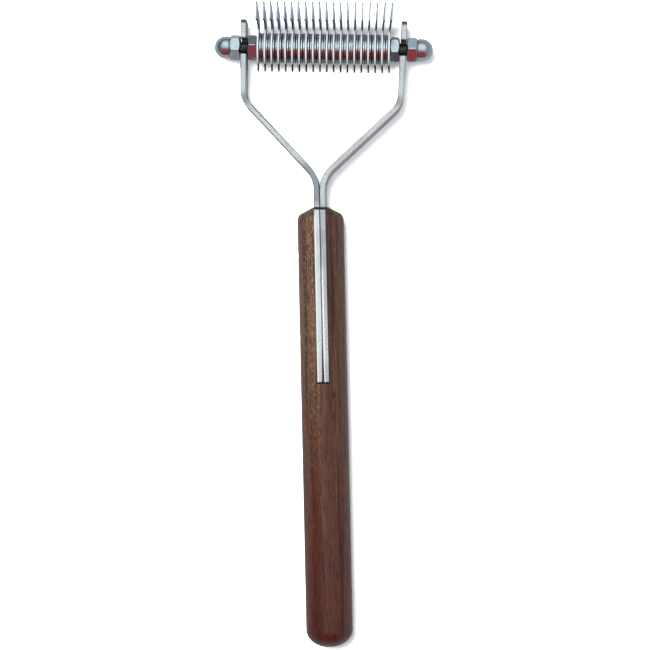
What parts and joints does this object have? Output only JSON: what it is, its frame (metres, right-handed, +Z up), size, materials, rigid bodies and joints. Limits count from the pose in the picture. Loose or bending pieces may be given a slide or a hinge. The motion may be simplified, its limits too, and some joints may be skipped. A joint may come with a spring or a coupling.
{
  "type": "deshedding tool",
  "caption": "Handheld coat rake: a row of hooked steel blades on a threaded rod, held in the open notches of a bent steel fork set in a turned wooden handle.",
  "frame": {"origin": "middle of the tool's length and width, on the surface it lies on, with the open side of the hooks up", "axes": "+X along the rod to the right, +Y from the handle to the blades, +Z up out of the notches and the open side of the hooks"},
  "size_m": [0.0668, 0.195, 0.0207],
  "materials": {
    "handle_wood": "oiled dark hardwood, semi-gloss",
    "fork_steel": "galvanised flat bar, satin and speckled",
    "blade_steel": "ground and polished strip",
    "washer_steel": "plated stampings",
    "bright_zinc": "bright blue zinc plate",
    "rod_steel": "dark oiled threaded steel"
  },
  "bodies": {
    "handle_frame": {"handle": "handle_wood", "upper_handle_pin": "rod_steel", "lower_handle_pin": "rod_steel", "left_arm": "fork_steel", "right_arm": "fork_steel"},
    "rod": {"threaded_rod": "rod_steel"},
    "left_inner_nut": {"left_inner_nut": "bright_zinc"},
    "right_inner_nut": {"right_inner_nut": "bright_zinc"},
    "left_cap_nut": {"left_cap_nut": "bright_zinc"},
    "right_cap_nut": {"right_cap_nut": "bright_zinc"},
    "blade_stack": {"blade_01": "blade_steel", "blade_02": "blade_steel", "blade_03": "blade_steel", "blade_04": "blade_steel", "blade_05": "blade_steel", "blade_06": "blade_steel", "blade_07": "blade_steel", "blade_08": "blade_steel", "blade_09": "blade_steel", "blade_10": "blade_steel", "blade_11": "blade_steel", "blade_12": "blade_steel", "blade_13": "blade_steel", "blade_14": "blade_steel", "blade_15": "blade_steel", "blade_16": "blade_steel", "blade_17": "blade_steel", "blade_18": "blade_steel", "blade_19": "blade_steel", "blade_20": "blade_steel", "spacer_01": "washer_steel", "spacer_02": "washer_steel", "spacer_03": "washer_steel", "spacer_04": "washer_steel", "spacer_05": "washer_steel", "spacer_06": "washer_steel", "spacer_07": "washer_steel", "spacer_08": "washer_steel", "spacer_09": "washer_steel", "spacer_10": "washer_steel", "spacer_11": "washer_steel", "spacer_12": "washer_steel", "spacer_13": "washer_steel", "spacer_14": "washer_steel", "spacer_15": "washer_steel", "spacer_16": "washer_steel", "spacer_17": "washer_steel", "spacer_18": "washer_steel", "spacer_19": "washer_steel"}
  },
  "joints": [
    {"name": "rod_lift_out", "type": "slide", "parent": "handle_frame", "child": "rod", "axis": [0, 0, 1], "range_m": [0, 0.012]},
    {"name": "blade_stack_turn", "type": "hinge", "parent": "rod", "child": "blade_stack", "pos_m": [0, 0.08495, 0.0071], "axis": [1, 0, 0], "continuous": true},
    {"name": "left_inner_nut_turn", "type": "hinge", "parent": "rod", "child": "left_inner_nut", "pos_m": [-0.02175, 0.08495, 0.0071], "axis": [1, 0, 0], "continuous": true},
    {"name": "right_inner_nut_turn", "type": "hinge", "parent": "rod", "child": "right_inner_nut", "pos_m": [0.02175, 0.08495, 0.0071], "axis": [1, 0, 0], "continuous": true},
    {"name": "left_cap_nut_turn", "type": "hinge", "parent": "rod", "child": "left_cap_nut", "pos_m": [-0.02685, 0.08495, 0.0071], "axis": [1, 0, 0], "continuous": true},
    {"name": "right_cap_nut_turn", "type": "hinge", "parent": "rod", "child": "right_cap_nut", "pos_m": [0.02685, 0.08495, 0.0071], "axis": [1, 0, 0], "continuous": true}
  ]
}
